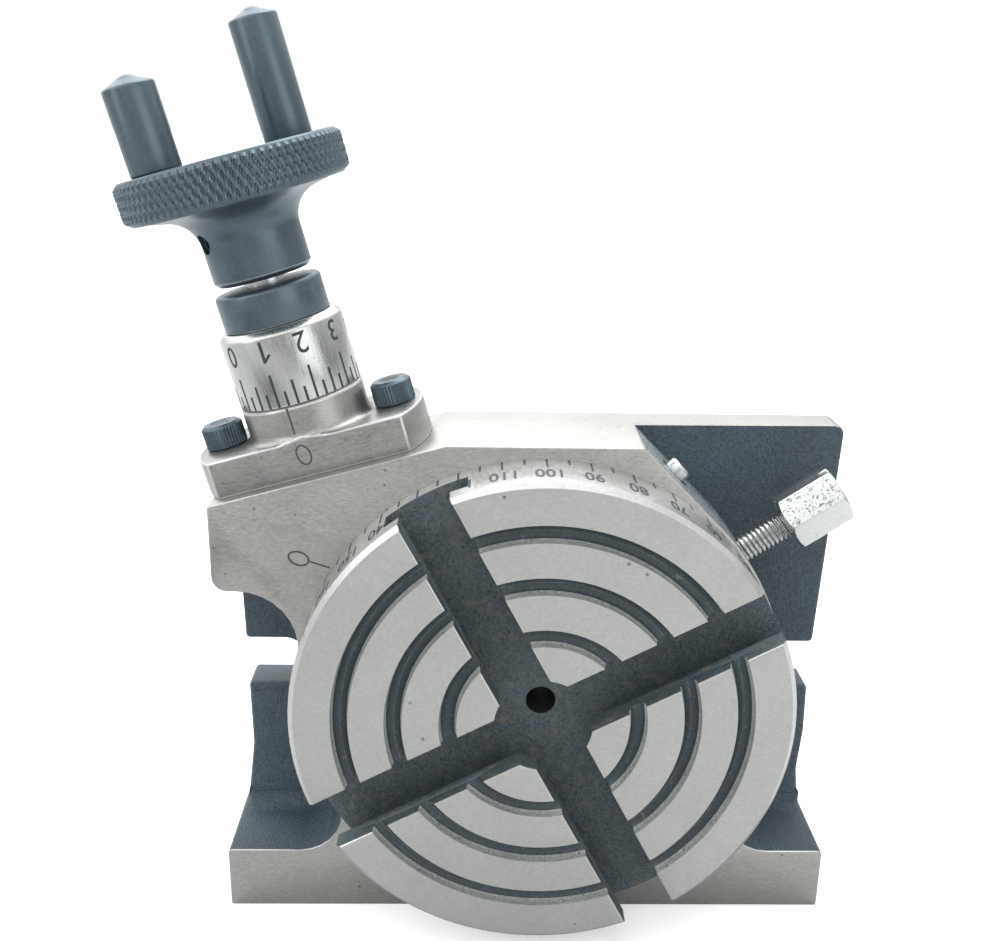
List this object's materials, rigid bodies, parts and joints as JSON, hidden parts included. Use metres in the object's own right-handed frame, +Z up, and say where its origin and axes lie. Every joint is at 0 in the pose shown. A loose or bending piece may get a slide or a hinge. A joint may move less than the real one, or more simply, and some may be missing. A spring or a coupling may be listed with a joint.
{
  "type": "rotary table",
  "caption": "Horizontal and vertical rotary table with a slotted round face, worm drive, graduated dial, handwheel and table lock.",
  "frame": {"origin": "underside of the narrow foot, below the table axis, at the middle of the foot's depth", "axes": "+X to the right facing the table, -Y out of the table face, +Z up when the table stands on its foot"},
  "size_m": [0.1474, 0.0541, 0.1858],
  "materials": {
    "machined_iron": "ground and brushed, with blue-grey paint on the cast faces",
    "bright_steel": "turned",
    "satin_steel": "satin",
    "black_oxide": "black oxide, semi matt",
    "zinc_plate": "bright zinc plate",
    "bronze": "machined"
  },
  "bodies": {
    "body": {"body_casting": "machined_iron", "rear_cover": "bright_steel", "rear_cover_screws": "black_oxide", "worm_sleeve": "machined_iron", "sleeve_cap_screws": "black_oxide", "thrust_washer": "bronze", "tail_bush": "bronze", "oiler_cup": "zinc_plate", "oiler_spring": "bright_steel"},
    "table": {"table_disc": "machined_iron", "worm_wheel": "bronze", "wheel_dowels": "bright_steel", "clamp_washer": "bright_steel", "spindle_nut": "bright_steel", "nut_grub_screw": "black_oxide"},
    "worm": {"worm_shaft": "bright_steel", "dial_friction_ring": "bronze", "lock_collar": "black_oxide", "collar_grub_screw": "black_oxide", "handwheel": "black_oxide", "handwheel_grub_screw": "black_oxide", "handle_short": "black_oxide", "handle_long": "black_oxide"},
    "dial_ring": {"dial": "satin_steel"},
    "lock_pad_body": {"lock_pad": "bronze"},
    "lock_screw_body": {"lock_screw": "zinc_plate"},
    "oiler_ball_body": {"oiler_ball": "zinc_plate"}
  },
  "joints": [
    {"name": "table_rotation", "type": "hinge", "parent": "body", "child": "table", "pos_m": [0, 0, 0.0535], "axis": [0, -1, 0], "continuous": true},
    {"name": "handwheel_rotation", "type": "hinge", "parent": "body", "child": "worm", "pos_m": [-0.04562, 0.0019, 0.09861], "axis": [-0.2656, 0, 0.9641], "continuous": true},
    {"name": "dial_setting", "type": "hinge", "parent": "worm", "child": "dial_ring", "pos_m": [-0.04562, 0.0019, 0.09861], "axis": [-0.2656, 0, 0.9641], "continuous": true},
    {"name": "lock_travel", "type": "slide", "parent": "body", "child": "lock_pad_body", "axis": [0.829, 0, 0.5592], "range_m": [-0.00015, 0.002]},
    {"name": "lock_turning", "type": "hinge", "parent": "lock_pad_body", "child": "lock_screw_body", "pos_m": [0.04145, -0.0053, 0.08146], "axis": [0.829, 0, 0.5592], "range_deg": [-60, 727]},
    {"name": "oiler_ball_travel", "type": "slide", "parent": "body", "child": "oiler_ball_body", "axis": [0.7071, 0, 0.7071], "range_m": [-0.0008, 0], "stiffness_N_per_m": 150, "springref_m": 0.0005}
  ],
  "couplings": [
    {"joint": "handwheel_rotation", "follows": "table_rotation", "ratio": 36},
    {"joint": "lock_turning", "follows": "lock_travel", "rad_per_m": 6283.2}
  ]
}
